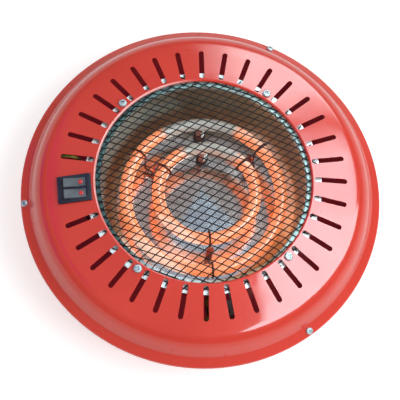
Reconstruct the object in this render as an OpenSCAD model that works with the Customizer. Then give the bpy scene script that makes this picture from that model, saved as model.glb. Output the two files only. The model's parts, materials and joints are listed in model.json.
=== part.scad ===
/* [Casing] */
// Outer diameter of the brim
outer_d = 350; // [330:1:370]
// Height of the brim's outer edge above the table
brim_h = 56; // [52:1:62]
// Height of the opening's edge above the brim
rise_h = 34; // [31:1:37]
// Diameter of the opening in the cover
opening_d = 205.6; // [198:0.2:210]
// Thickness of the steel sheet
sheet_t = 1; // [0.8:0.1:1.2]
// Fall of the slotted top, in degrees
top_slope = 10; // [8:0.5:12]
// Width of the steep wall inside the brim, in plan, up to the corner of the shoulder
wall_w = 9; // [7:0.5:12]
// Radius of the shoulder's rounding
shoulder_round = 20; // [12:0.5:21]
// Width of the sloping brim, in plan
brim_w = 9; // [8.6:0.1:10]
// Fall of the brim, in degrees
brim_slope = 26; // [20:1:28]
// Depth of the brim's turned-down hem
hem_h = 3; // [2:0.5:4]
// Radius of the pan's flat floor, to the corner
pan_floor_r = 128; // [124:1:132]
// Height of the rubber feet
foot_h = 8; // [6:0.5:10]
// Diameter of a rubber foot
foot_d = 22; // [20:0.5:24]
// Radius of the circle of feet
feet_circle_r = 106; // [100:1:110]

/* [Slots] */
// Slot positions round the top, of which the switch takes two
slot_places = 36; // [32:2:40]
// Width of a slot
slot_w = 5; // [4:0.1:5.4]
// Length of a slot in plan
slot_len = 32.5; // [28:0.5:34]
// Distance from the opening to the slots
slot_edge = 2.8; // [2.4:0.1:3.2]

/* [Guard] */
// Diameter of the guard's wire
wire_d = 1.2; // [1:0.1:1.4]
// Distance between the upper wires
upper_pitch = 6.68; // [6:0.02:8]
// Distance between the lower wires
lower_pitch = 6.5; // [6:0.02:8]
// Direction of the upper wires, in degrees
upper_dir = 36.2; // [30:0.1:45]
// Direction of the lower wires, in degrees
lower_dir = -25.4; // [-40:0.1:-20]
// Rise of the guard's dome
dome_rise = 8.5; // [6:0.5:11]
// Drop from the dome's edge to the guard's flat border
border_drop = 3.3; // [3:0.1:4]

/* [Heater] */
// Depth of the bowl, from the opening's edge to its floor
bowl_depth = 70; // [68:0.5:71]
// Thickness of the bowl's aluminium sheet
bowl_t = 0.8; // [0.6:0.1:1]
// Diameter of the ring tubes
tube_d = 12; // [11:0.5:12.5]
// Wall of the ring tubes
tube_wall = 1.2; // [1:0.1:1.5]
// Radius of the outer ring
outer_ring_r = 76; // [74:0.5:77]
// Step from the outer ring's radius to the inner ring's
ring_step = 28.5; // [27.5:0.5:29.5]
// Depth of the rings below the opening's edge
ring_depth = 37; // [35:0.5:39]
// Shift of the outer ring's centre away from the switch
outer_shift_x = 1.6; // [0:0.2:4]
// Shift of the outer ring's centre away from its stem
outer_shift_y = 4; // [1:0.5:5]
// Shift of the inner ring's centre away from the switch
inner_shift_x = 5; // [3:0.2:6]
// Shift of the inner ring's centre away from its stem
inner_shift_y = 1; // [0:0.5:3]
// Shift of the two stems away from the switch
stem_x = 7.2; // [5:0.2:9]
// Angle left cold on the switch's side of a stem, in degrees
cold_near = 31; // [24:1:40]
// Angle left cold on the outer stem's other side, in degrees
outer_cold_far = 27; // [24:1:40]
// Angle left cold on the inner stem's other side, in degrees
inner_cold_far = 46; // [24:1:50]
// Diameter of the hook wire
hook_wire_d = 2; // [1.6:0.1:2.4]

/* [Switch] */
// Length of the bezel, along the slope
bezel_l = 32; // [31:0.5:34]
// Width of the bezel
bezel_w = 27; // [26:0.5:29]
// Distance from the opening to the bezel
bezel_edge = 3.8; // [3.4:0.1:5]
// Thickness of the bezel
bezel_t = 2; // [1.5:0.1:2.5]
// Length of a rocker
rocker_l = 21.6; // [20:0.2:22]
// Width of a rocker
rocker_w = 8.3; // [7.5:0.1:8.6]
// Throw of a rocker, in degrees
rocker_throw = 18; // [14:1:20]
// Diameter of a rocker's pivot pins
pivot_d = 3; // [2.5:0.1:3.4]
// Clearance round a pivot pin
pivot_gap = 0.05; // [0.03:0.01:0.08]
// Diameter of a red lens
lens_d = 4.5; // [4:0.1:5]

/* [Fixings] */
// Diameter of the screws
screw_d = 4; // [3.5:0.1:4.2]
// Diameter of a cover screw's head
cover_head_d = 8; // [7:0.1:8.4]
// Diameter of a brim screw's head
brim_head_d = 6.8; // [6:0.1:7]
// Distance from the opening to the cover screws
cover_screw_edge = 6.45; // [6:0.05:7]
// Width across flats of the nuts
nut_af = 7; // [6.4:0.1:7]
// Bore of the cable gland
gland_bore_d = 7.2; // [6.5:0.1:8]
// Length of the cable gland
gland_l = 20; // [17:0.5:24]
// Bearing of the gland and the terminal block, in degrees
inlet_dir = 280; // [276:1:284]

/* [Hidden] */
$fn = 48;

// Colours
red = [0.85, 0.24, 0.18];
steel = [0.78, 0.79, 0.8];
aluminium = [0.82, 0.83, 0.84];
black = [0.08, 0.08, 0.09];
glow = [1, 0.5, 0.25];
ceramic = [0.16, 0.13, 0.12];
rust = [0.5, 0.22, 0.12];
grey = [0.5, 0.5, 0.5];

// Gaps left between pieces that rest on each other, and round screws in plain and tapped holes
seat = 0.2;
screw_gap = 0.25;
tap_gap = 0.05;

// Casing
edge_r = outer_d / 2;
open_r = opening_d / 2;
open_z = brim_h + rise_h;
pan_z = foot_h + sheet_t;
function top_at(r) = open_z - (r - open_r) * tan(top_slope);
function brim_at(r) = brim_h + (edge_r - r) * tan(brim_slope);
brim_in_r = edge_r - brim_w;
shoulder_r = brim_in_r - wall_w;
edge_round = 1.8;
foot_round = 4;
hem_round = 2.2;
// The pan's flange lies under the brim
flange_drop = (sheet_t + seat) / cos(brim_slope);
pan_top_r = brim_in_r - 4;
pan_edge_r = edge_r - sheet_t - 0.8;

// Guard: the border lies flat between the cover's turned-down edge and the bowl's flange
guard_out_r = open_r + 8.2;
lip_z = top_at(guard_out_r) - sheet_t / cos(top_slope) - 0.3;
upper_flat_z = lip_z - seat - wire_d / 2;
layer_gap = 0.1;
layer_drop = wire_d + layer_gap;
lower_flat_z = upper_flat_z - layer_drop;
bowl_flange_z = lower_flat_z - wire_d / 2 - layer_gap;
upper_dome_r = open_r - 3.6;
lower_dome_r = upper_dome_r - 1.4 * wire_d;
dome_edge_z = upper_flat_z + border_drop;
dome_sphere_r = (upper_dome_r ^ 2 + dome_rise ^ 2) / (2 * dome_rise);
dome_centre_z = dome_edge_z + dome_rise - dome_sphere_r;
bend_r = wire_d;
dome_step = 25;
upper_offset = -0.57;
lower_offset = 3.23;

// Bowl and rings
bowl_z = open_z - bowl_depth;
bowl_mouth_r = open_r - 4.6;
bowl_floor_r = bowl_mouth_r - 5;
bowl_corner_r = 12;
bowl_flange_r = open_r + 10.4;
ring_z = open_z - ring_depth;
tube_r = tube_d / 2;
inner_ring_r = outer_ring_r - ring_step;
outer_centre = [outer_shift_x, -outer_shift_y];
inner_centre = [inner_shift_x, -inner_shift_y];
function stem_dir(centre, r) = acos((stem_x - centre[0]) / r);
stem_r = 0.7 * tube_r;
bush_h = 4.5;
bush_neck_r = stem_r + 1.1;
bush_head_r = stem_r + 1.7;
bush_neck_l = 8.5;
stem_end_z = bowl_z - 5;
// Supports, on three lines out from a point between the rings' centres
support_dirs = [36, 142, 269];
hub = (outer_centre + inner_centre) / 2;
function reach(centre, r, dir) =
    let (way = [cos(dir), sin(dir)], off = centre - hub)
    off * way + sqrt(r ^ 2 - off * off + (off * way) ^ 2);
hook_gap = 0.35;
hook_r = tube_r + hook_gap + hook_wire_d / 2;
hook_low_z = bowl_z + 7;
hook_turn_r = 1.2 * hook_wire_d;
hook_swell = 0.1;
function hook_in(dir) = reach(inner_centre, inner_ring_r, dir) + hook_r;
function hook_out(dir) = reach(outer_centre, outer_ring_r, dir) - hook_r;
post_w = 6.5;
post_t = 2;
post_top = 3;
post_foot_l = 10;
post_hole = 6;
post_gap = 1;
function post_r(dir) = hook_in(dir) + (hook_wire_d + post_t) / 2 + post_gap;

// Switch, in its own frame: X outwards along the slope, Z square to the slope
bezel_mid_r = open_r + bezel_edge + bezel_l / 2 * cos(top_slope);
body_l = bezel_l - 3;
body_w = bezel_w - 4;
body_depth = 18;
divider = 2.4;
side_gap = 0.25;
rocker_y = (divider + rocker_w) / 2 + side_gap;
pivot_z = -0.5;
flush_z = bezel_t + 0.3;
rocker_swing_r = norm([rocker_l / 2, flush_z - pivot_z]);
cavity_l = 2 * (rocker_swing_r + side_gap);
cavity_w = rocker_w + 2 * side_gap;
cavity_floor = -9.5;
fold_x = -3.4;
lens_x = -6.3;
lens_seat = 1.5;
lens_rise = 0.5;
lens_gap = 0.1;
pin_reach = 1;
blade_l = 8;

// Screws
cover_screw_r = open_r + cover_screw_edge;
brim_screw_r = edge_r - 3.9;
cover_screw_dirs = [for (k = [-13, -5, 5, 13]) 180 + k * 360 / slot_places];
brim_screw_dirs = [60, 180, 300];
foot_dirs = [45, 135, 225, 315];
nut_h = 3.2;

// Inlet: the gland sits square to the pan's sloping wall
pan_wall_tilt = atan2(brim_at(pan_top_r) - flange_drop - pan_z, pan_top_r - pan_floor_r);
gland_z = 34;
gland_r = pan_floor_r + (gland_z - pan_z) / tan(pan_wall_tilt);
gland_flange_r = 9;
gland_flange_t = 4;
gland_body_r = 6;
block_l = 38;
block_w = 16;
block_h = 15;
block_ways = 4;
way_pitch = 8.5;
way_z = pan_z + 6;
block_r = pan_floor_r - 16;
earth_r = pan_floor_r - 16;
earth_dir = 165;
cutout_x = -45;
cutout_y = -30;
cutout_r = 9;
cutout_screw_y = 13;
small_screw_d = 3;
small_head_d = 5.6;
small_head_h = 2;
lead_d = 2.8;
lead_z = pan_z + 5;
cutout_tab_z = pan_z + 4;
cutout_tab_l = 8;

// A path's corners rounded, and a sheet of thickness t on the right-hand side of a path
function unit(v) = v / norm(v);
function left_of(v) = [-v[1], v[0]];
function turn_between(a, b) = atan2(a[0] * b[1] - a[1] * b[0], a * b);
function turned(v, a) = [v[0] * cos(a) - v[1] * sin(a), v[0] * sin(a) + v[1] * cos(a)];
function round_corner(p0, p1, p2, r) =
    let (a = unit(p1 - p0), turn = turn_between(p1 - p0, p2 - p1), side = sign(turn))
    let (n = max(1, ceil(abs(turn) / 7)))
    let (centre = p1 - a * r * tan(abs(turn) / 2) + left_of(a) * side * r)
    r <= 0 ? [p1] : [for (i = [0:n]) centre - side * r * turned(left_of(a), turn * i / n)];
function rounded(pts, radii) = [
    for (i = [0:len(pts) - 1])
        each (i == 0 || i == len(pts) - 1 ? [pts[i]] : round_corner(pts[i - 1], pts[i], pts[i + 1],
            radii[i]))
];
function right_normal(a, b) = -left_of(unit(b - a));
function moved_corner(pts, i, t) =
    i == 0 ? pts[0] + t * right_normal(pts[0], pts[1]) :
    i == len(pts) - 1 ? pts[i] + t * right_normal(pts[i - 1], pts[i]) :
    let (a = right_normal(pts[i - 1], pts[i]), b = right_normal(pts[i], pts[i + 1]))
    pts[i] + t * (a + b) / (1 + a * b);
function moved_radius(pts, radii, i, t) =
    i == 0 || i == len(pts) - 1 ? 0 : radii[i] + t * sign(turn_between(pts[i] - pts[i - 1],
        pts[i + 1] - pts[i]));
function sheet(pts, radii, t) =
    let (n = len(pts) - 1)
    let (low = [for (i = [0:n]) moved_corner(pts, i, t)],
        low_radii = [for (i = [0:n]) moved_radius(pts, radii, i, t)])
    let (under = rounded(low, low_radii))
    concat(rounded(pts, radii), [for (i = [len(under) - 1:-1:0]) under[i]]);
module spun_sheet(pts, radii, t) {
    rotate_extrude($fn = 144) polygon(sheet(pts, radii, t));
}

// Places for pieces: square to the slotted top, to the brim and to the pan's wall, round a centre and at
// a ring's stem
module on_top(r, dir) {
    rotate([0, 0, dir]) translate([r, 0, top_at(r)]) rotate([0, top_slope, 0]) children();
}
module on_brim(dir) {
    rotate([0, 0, dir]) translate([brim_screw_r, 0, brim_at(brim_screw_r)]) rotate([0, brim_slope, 0])
        children();
}
module on_wall() {
    rotate([0, 0, inlet_dir]) translate([gland_r, 0, gland_z]) rotate([0, 180 - pan_wall_tilt, 0])
        children();
}
module round_centre(centre, dir, r) {
    translate([centre[0], centre[1], 0]) rotate([0, 0, dir]) translate([r, 0, 0]) children();
}
module at_stem(centre, r) {
    round_centre(centre, stem_dir(centre, r), r) children();
}
module in_switch() {
    on_top(bezel_mid_r, 180) children();
}
module at_foot(dir) {
    rotate([0, 0, dir]) translate([feet_circle_r, 0, 0]) children();
}

// Rods that bend in the XZ plane: an arc from one angle to another, and a straight length
module rod_arc(centre, r, from, to, d) {
    translate([centre[0], 0, centre[1]]) rotate([90, 0, 0]) rotate([0, 0, from])
        rotate_extrude(angle = to - from) translate([r, 0]) circle(d = d, $fn = 24);
}
module rod(p, dir, l, d) {
    translate([p[0], 0, p[1]]) rotate([0, 90 - dir, 0]) cylinder(h = l, d = d, $fn = 24);
}
module ring_arc(r, from, to, d) {
    rotate([0, 0, from]) rotate_extrude(angle = to - from, $fn = 96) translate([r, 0])
        circle(d = d, $fn = 32);
}

// A round head or cap with its upper edge rounded
module button(d, h, r) {
    rotate_extrude() polygon(rounded([[0, h], [d / 2, h], [d / 2, 0], [0, 0]], [0, r, 0, 0]));
}
// A pan-head screw with a cross recess: its head stands on Z = 0 and its shank goes down
module pan_screw(d, head_d, head_h, l, point = 0) {
    recess = 0.16 * head_d;
    difference() {
        union() {
            button(head_d, head_h, 0.6 * head_h);
            translate([0, 0, -l + point]) cylinder(h = l - point + 0.01, d = d);
            if (point > 0) translate([0, 0, -l]) cylinder(h = point, d1 = 0.3 * d, d2 = d);
        }
        for (a = [0, 90]) rotate([0, 0, a]) translate([-0.28 * head_d, -recess / 2, 0.4 * head_h])
            cube([0.56 * head_d, recess, head_h]);
    }
}
module hex_nut(af, bore_d, h) {
    difference() {
        cylinder(h = h, d = af / cos(30), $fn = 6);
        translate([0, 0, -1]) cylinder(h = h + 2, d = bore_d);
    }
}
module slot(l, w) {
    hull_l = l - w;
    square([hull_l, w], center = true);
    for (x = [-1, 1]) translate([x * hull_l / 2, 0]) circle(d = w);
}

// The room that the switch's body takes out of the flat flanges under the cover
flange_notch_r = bezel_mid_r - body_l / 2 * cos(top_slope) - 6 * sin(top_slope) - 0.8;
module switch_notch() {
    translate([-flange_notch_r - 20, -body_w / 2 - 1, lower_flat_z - 5]) cube([20, body_w + 2, 12]);
}

module cover() {
    corners = [
        [open_r, lip_z], [open_r, open_z], [shoulder_r, top_at(shoulder_r)],
        [brim_in_r, brim_at(brim_in_r)], [edge_r, brim_h], [edge_r, brim_h - hem_h]
    ];
    slot_mid_r = open_r + slot_edge + slot_len / 2;
    color(red) difference() {
        spun_sheet(corners, [0, edge_round, shoulder_round, foot_round, hem_round, 0], sheet_t);
        for (k = [1:slot_places - 2]) rotate([0, 0, 180 + (k + 0.5) * 360 / slot_places])
            translate([slot_mid_r, 0, top_at(shoulder_r) - 4]) linear_extrude(16) slot(slot_len, slot_w);
        for (dir = cover_screw_dirs) on_top(cover_screw_r, dir)
            translate([0, 0, -3]) cylinder(h = 6, d = screw_d + 2 * screw_gap);
        for (dir = brim_screw_dirs) on_brim(dir)
            translate([0, 0, -3]) cylinder(h = 6, d = screw_d + 2 * screw_gap);
        in_switch() translate([-body_l / 2 - 0.2, -body_w / 2 - 0.2, -4])
            cube([body_l + 0.4, body_w + 0.4, 8]);
    }
}

module base_pan() {
    corners = [
        [0, pan_z], [pan_floor_r, pan_z], [pan_top_r, brim_at(pan_top_r) - flange_drop],
        [pan_edge_r, brim_at(pan_edge_r) - flange_drop]
    ];
    color(red) difference() {
        spun_sheet(corners, [0, 12, 2.5, 0], sheet_t);
        for (dir = brim_screw_dirs) on_brim(dir)
            translate([0, 0, -5]) cylinder(h = 6, d = screw_d + 2 * screw_gap);
        on_wall() translate([0, 0, -3]) cylinder(h = 7, r = gland_body_r + screw_gap);
        for (dir = foot_dirs) at_foot(dir) translate([0, 0, pan_z - 3])
            cylinder(h = 6, d = screw_d + 2 * screw_gap);
        at_block() for (x = [-1, 1]) translate([x * way_pitch, 0, -3])
            cylinder(h = 6, d = small_screw_d + 2 * screw_gap);
        for (y = [-1, 1]) translate([cutout_x, cutout_y + y * cutout_screw_y, pan_z - 3])
            cylinder(h = 6, d = small_screw_d + 2 * screw_gap);
        at_earth() translate([0, 0, -3]) cylinder(h = 6, d = screw_d + 2 * screw_gap);
    }
}

module reflector() {
    corners = [[0, bowl_z], [bowl_floor_r, bowl_z], [bowl_mouth_r, bowl_flange_z],
        [bowl_flange_r, bowl_flange_z]];
    color(aluminium) difference() {
        spun_sheet(corners, [0, bowl_corner_r, 1.6, 0], bowl_t);
        for (dir = cover_screw_dirs) on_top(cover_screw_r, dir)
            translate([0, 0, -10]) cylinder(h = 10, d = screw_d + 2 * tap_gap);
        switch_notch();
        for (ring = [[outer_centre, outer_ring_r], [inner_centre, inner_ring_r]]) at_stem(ring[0], ring[1])
            translate([0, 0, bowl_z - 4]) cylinder(h = 8, r = bush_neck_r + screw_gap);
        for (dir = support_dirs) round_centre(hub, dir, post_r(dir) + post_hole)
            translate([0, 0, bowl_z - 3]) cylinder(h = 6, d = small_screw_d + 2 * screw_gap);
    }
}

// The faces of a tube that has rings of points along its length
function skin(last, sides) = concat(
    [for (i = [0:last - 1], k = [0:sides - 1])
        let (a = i * sides + k, b = i * sides + (k + 1) % sides)
        each [[a, a + sides, b + sides], [a, b + sides, b]]],
    [for (k = [1:sides - 2]) [0, k, k + 1]],
    [for (k = [1:sides - 2]) [last * sides, last * sides + k + 1, last * sides + k]]
);

// A six-sided wire along a path in the XZ plane, mitred where the path turns
module bent_wire(path, y) {
    sides = 6;
    last = len(path) - 1;
    points = [
        for (i = [0:last])
            let (before = unit(path[max(i, 1)] - path[max(i, 1) - 1]))
            let (after = unit(path[min(i + 1, last)] - path[min(i, last - 1)]))
            let (way = unit(before + after), up = left_of(way) / (way * before))
            for (k = [0:sides - 1])
                let (high = wire_d / 2 * cos(30 + 60 * k), wide = wire_d / 2 * sin(30 + 60 * k))
                [path[i][0] + high * up[0], y - wide, path[i][1] + high * up[1]]
    ];
    polyhedron(points, skin(last, sides));
}
// Half of a wire: over the dome, down the steep edge and out on to the flat border
function half_wire(y, dome_r, flat_z, centre_z) =
    let (half_x = sqrt(dome_r ^ 2 - y ^ 2), arc_r = sqrt(dome_sphere_r ^ 2 - y ^ 2),
        fall = asin(half_x / arc_r))
    let (n = max(1, round(half_x / dome_step)), edge_z = centre_z + arc_r * cos(fall))
    concat(
        [for (k = [1:n]) [arc_r * sin(fall * k / n), centre_z + arc_r * cos(fall * k / n)]],
        [[half_x + 0.8 * bend_r, edge_z - 0.7 * bend_r], [half_x + bend_r, flat_z + 0.8 * bend_r],
            [half_x + 1.8 * bend_r, flat_z]]
    );
// A wire's border stops before a cover screw and before the switch
screw_pass_r = cover_screw_r - 0.5;
screw_clear = screw_d / 2 + wire_d / 2 + 0.6;
function screw_stops(dir, y, side) = [
    for (a = cover_screw_dirs)
        let (along = side * screw_pass_r * cos(a - dir), off = abs(screw_pass_r * sin(a - dir) - y))
        if (off < screw_clear) each [along - sqrt(screw_clear ^ 2 - off ^ 2),
            along + sqrt(screw_clear ^ 2 - off ^ 2)]
];
function switch_stop(dir, y, side, end_x) =
    let (s = (y * sin(dir) - flange_notch_r) / (side * cos(dir)))
    let (enter_y = side * s * sin(dir) + y * cos(dir), end_y = side * end_x * sin(dir) + y * cos(dir))
    s > 0 && min(abs(enter_y), abs(end_y)) < body_w / 2 + 1.5 ? s - wire_d : end_x;
function wire_end(dir, y, side, end_x) =
    min(concat([end_x, switch_stop(dir, y, side, end_x)],
        [for (s = screw_stops(dir, y, side)) if (s > 0) s]));
module guard_wire(dir, y, dome_r, flat_z, centre_z) {
    end_x = sqrt(guard_out_r ^ 2 - y ^ 2);
    if (abs(y) < dome_r - 2 * bend_r) {
        half = half_wire(y, dome_r, flat_z, centre_z);
        middle = [0, centre_z + sqrt(dome_sphere_r ^ 2 - y ^ 2)];
        bent_wire(concat(
            [[-wire_end(dir, y, -1, end_x), flat_z]],
            [for (i = [len(half) - 1:-1:0]) [-half[i][0], half[i][1]]],
            [middle], half, [[wire_end(dir, y, 1, end_x), flat_z]]
        ), y);
    } else if (abs(y) > dome_r + 0.3) {
        stops = concat([-end_x], screw_stops(dir, y, 1), [end_x]);
        for (i = [0:2:len(stops) - 2])
            if (stops[i + 1] > stops[i] + wire_d) bent_wire([[stops[i], flat_z], [stops[i + 1], flat_z]],
                y);
    }
}
module guard_layer(dir, pitch, offset, dome_r, flat_z, centre_z) {
    count = ceil(guard_out_r / pitch);
    rotate([0, 0, dir]) for (k = [-count:count])
        if (abs(offset + k * pitch) < guard_out_r - wire_d)
            guard_wire(dir, offset + k * pitch, dome_r, flat_z, centre_z);
}
module guard_upper_wires() {
    color(black) guard_layer(upper_dir, upper_pitch, upper_offset, upper_dome_r, upper_flat_z,
        dome_centre_z);
}
module guard_lower_wires() {
    color(black) guard_layer(lower_dir, lower_pitch, lower_offset, lower_dome_r, lower_flat_z,
        dome_centre_z - layer_drop);
}

// A quartz ring with one stem that goes down into its bush
module ring_tube(centre, r) {
    color("mistyrose") difference() {
        union() {
            translate([centre[0], centre[1], ring_z]) rotate_extrude($fn = 96) translate([r, 0])
                circle(r = tube_r);
            at_stem(centre, r) translate([0, 0, stem_end_z]) cylinder(h = ring_z - stem_end_z, r = stem_r);
        }
        translate([centre[0], centre[1], ring_z]) rotate_extrude($fn = 96) translate([r, 0])
            circle(r = tube_r - tube_wall);
        at_stem(centre, r) translate([0, 0, stem_end_z - 1])
            cylinder(h = ring_z - stem_end_z + 1, r = stem_r - tube_wall);
    }
}
module outer_ring_tube() ring_tube(outer_centre, outer_ring_r);
module inner_ring_tube() ring_tube(inner_centre, inner_ring_r);

// The coil lies in its ring, with a straight tail at each end that goes down the stem
coil_gap = 0.3;
tail_d = 1.4;
tail_x = 1.5;
module heating_coil(centre, r, cold_far) {
    tail_turn = asin(tail_x / r);
    color(glow) round_centre(centre, stem_dir(centre, r), 0) {
        translate([0, 0, ring_z]) {
            ring_arc(r, cold_near, 360 - cold_far, tube_d - 2 * (tube_wall + coil_gap));
            ring_arc(r, -cold_far - 1, -tail_turn, tail_d);
            ring_arc(r, tail_turn, cold_near + 1, tail_d);
        }
        for (side = [-1, 1]) rotate([0, 0, side * tail_turn]) translate([r, 0, stem_end_z])
            cylinder(h = ring_z - stem_end_z + 1, d = tail_d + 0.3);
    }
}
module outer_heating_coil() heating_coil(outer_centre, outer_ring_r, outer_cold_far);
module inner_heating_coil() heating_coil(inner_centre, inner_ring_r, inner_cold_far);

module tube_bush(centre, r) {
    color(ceramic) at_stem(centre, r) difference() {
        union() {
            translate([0, 0, bowl_z]) cylinder(h = bush_h, r = bush_head_r);
            translate([0, 0, bowl_z - bush_neck_l]) cylinder(h = bush_neck_l + 1, r = bush_neck_r);
        }
        translate([0, 0, stem_end_z - seat]) cylinder(h = bowl_depth, r = stem_r + 0.1);
        for (y = [-1, 1]) translate([0, y * tail_x, bowl_z - bush_neck_l - 1])
            cylinder(h = bush_neck_l, d = tail_d + 0.4);
    }
}
module outer_tube_bush() tube_bush(outer_centre, outer_ring_r);
module inner_tube_bush() tube_bush(inner_centre, inner_ring_r);

module support_posts() {
    color(rust) for (dir = support_dirs) round_centre(hub, dir, post_r(dir)) difference() {
        union() {
            translate([-post_t / 2, -post_w / 2, bowl_z])
                cube([post_t, post_w, ring_z + post_top - bowl_z]);
            translate([-post_t / 2, -post_w / 2, bowl_z]) cube([post_foot_l, post_w, post_t]);
        }
        rod([-post_t, hook_low_z], 0, 2 * post_t, hook_wire_d + 2 * hook_gap);
        translate([post_hole, 0, bowl_z - 1]) cylinder(h = post_t + 2, d = small_screw_d + 2 * tap_gap);
    }
}
module support_screws() {
    color(steel) for (dir = support_dirs) round_centre(hub, dir, post_r(dir) + post_hole)
        translate([0, 0, bowl_z - bowl_t])
        mirror([0, 0, 1]) pan_screw(small_screw_d, small_head_d, small_head_h, bowl_t + post_t + 1);
}
// Each hook goes under and over the inner ring, through its post, and over and under the outer ring. Its
// wire swells a little where a bend begins
module tube_hooks() {
    turn_z = hook_low_z + hook_turn_r;
    color(ceramic) for (dir = support_dirs) round_centre(hub, dir, 0) {
        inner_x = hook_in(dir);
        outer_x = hook_out(dir);
        rod_arc([inner_x - hook_r, ring_z], hook_r, 0, 235, hook_wire_d);
        rod([inner_x, turn_z], 90, ring_z - turn_z, hook_wire_d);
        rod_arc([inner_x + hook_turn_r, turn_z], hook_turn_r, 180, 270, hook_wire_d);
        rod([inner_x + hook_turn_r, hook_low_z], 0, outer_x - inner_x - 2 * hook_turn_r, hook_wire_d);
        rod_arc([outer_x - hook_turn_r, turn_z], hook_turn_r, 270, 360, hook_wire_d);
        rod([outer_x, turn_z], 90, ring_z - turn_z, hook_wire_d);
        rod_arc([outer_x + hook_r, ring_z], hook_r, -55, 180, hook_wire_d);
        for (x = [inner_x, outer_x], z = [turn_z, ring_z]) translate([x, 0, z])
            sphere(d = hook_wire_d + hook_swell);
        for (x = [inner_x + hook_turn_r, outer_x - hook_turn_r]) translate([x, 0, hook_low_z])
            rotate([0, 90, 0]) sphere(d = hook_wire_d + hook_swell);
    }
}

module cover_screws() {
    color(steel) for (dir = cover_screw_dirs) on_top(cover_screw_r, dir)
        pan_screw(screw_d, cover_head_d, 2.4, 10, 3);
}
module brim_screws() {
    color(steel) for (dir = brim_screw_dirs) on_brim(dir) pan_screw(screw_d, brim_head_d, 2.2, 7);
}
module brim_nuts() {
    under = 2 * sheet_t + seat + 0.1;
    color(steel) for (dir = brim_screw_dirs) on_brim(dir) rotate([0, 0, 30])
        translate([0, 0, -under - nut_h]) hex_nut(nut_af, screw_d + 0.3, nut_h);
}

// The double rocker switch
module round_rect(l, w, r) {
    square([l - 2 * r, w], center = true);
    square([l, w - 2 * r], center = true);
    for (x = [-1, 1], y = [-1, 1]) translate([x * (l / 2 - r), y * (w / 2 - r)]) circle(r = r);
}
module switch_body() {
    color([0.13, 0.15, 0.2]) in_switch() difference() {
        union() {
            linear_extrude(bezel_t) round_rect(bezel_l, bezel_w, 1);
            translate([-body_l / 2, -body_w / 2, -body_depth]) cube([body_l, body_w, body_depth + 0.5]);
        }
        for (side = [-1, 1]) {
            translate([-cavity_l / 2, side * rocker_y - cavity_w / 2, cavity_floor])
                cube([cavity_l, cavity_w, 20]);
            translate([0, side * rocker_y, pivot_z]) rotate([90, 0, 0])
                cylinder(h = cavity_w + 2 * pin_reach + 0.2, d = pivot_d + 2 * pivot_gap, center = true);
        }
    }
}
module rocker_shape() {
    end_x = rocker_l / 2;
    intersection() {
        polygon([
            [-end_x, flush_z], [fold_x, flush_z], [end_x, flush_z + (end_x - fold_x) * tan(rocker_throw)],
            [end_x, -1.5], [5, cavity_floor + 3], [-5, cavity_floor + 3], [-end_x, -1.5]
        ]);
        translate([0, pivot_z]) circle(r = rocker_swing_r, $fn = 96);
    }
}
module rocker(side) {
    color([0.3, 0.34, 0.4]) in_switch() translate([0, side * rocker_y, 0]) difference() {
        union() {
            rotate([90, 0, 0]) linear_extrude(rocker_w, center = true) rocker_shape();
            translate([0, 0, pivot_z]) rotate([90, 0, 0])
                cylinder(h = rocker_w + 2 * (side_gap + pin_reach), d = pivot_d, center = true);
        }
        translate([lens_x, 0, flush_z - lens_seat]) cylinder(h = 2 * lens_seat, d = lens_d + 2 * lens_gap);
    }
}
module outer_ring_rocker() rocker(-1);
module inner_ring_rocker() rocker(1);
module lens(side) {
    color([0.75, 0.06, 0.05]) in_switch() translate([lens_x, side * rocker_y, flush_z - lens_seat])
        button(lens_d, lens_seat + lens_rise, 0.5);
}
module outer_ring_lens() lens(-1);
module inner_ring_lens() lens(1);
blade_xs = [-8, 0, 8];
module switch_terminals() {
    color(steel) in_switch() for (x = blade_xs, side = [-1, 1])
        translate([x - 0.4, side * rocker_y - 3.1, -body_depth - blade_l]) cube([0.8, 6.2, blade_l]);
}

// The terminal block stands on the pan's floor, with a row of ways along the wall
module at_block() {
    rotate([0, 0, inlet_dir]) translate([block_r, 0, pan_z]) rotate([0, 0, 90]) children();
}
way_xs = [for (k = [0:block_ways - 1]) (k - (block_ways - 1) / 2) * way_pitch];
module terminal_block() {
    color(grey) at_block() difference() {
        translate([-block_l / 2, -block_w / 2, 0]) cube([block_l, block_w, block_h]);
        for (x = way_xs) {
            translate([x, 0, way_z - pan_z]) rotate([90, 0, 0])
                cylinder(h = block_w + 2, r = lead_d / 2 + 0.5, center = true);
            for (y = [-1, 1]) translate([x, y * block_w / 4, way_z - pan_z])
                cylinder(h = block_h, d = small_screw_d + 0.5);
        }
        for (x = [-1, 1]) translate([x * way_pitch, 0, -1])
            cylinder(h = block_h + 2, d = small_screw_d + 0.5);
    }
}
module terminal_screws() {
    color(steel) at_block() for (x = way_xs, y = [-1, 1])
        translate([x, y * block_w / 4, way_z - pan_z + lead_d / 2 + 0.5]) difference() {
            cylinder(h = 5, d = small_screw_d);
            translate([-2, -0.4, 4]) cube([4, 0.8, 2]);
        }
}
module block_screws() {
    color(steel) at_block() for (x = [-1, 1]) translate([x * way_pitch, 0, block_h])
        pan_screw(small_screw_d, small_head_d - 1, small_head_h, block_h + 3);
}

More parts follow.
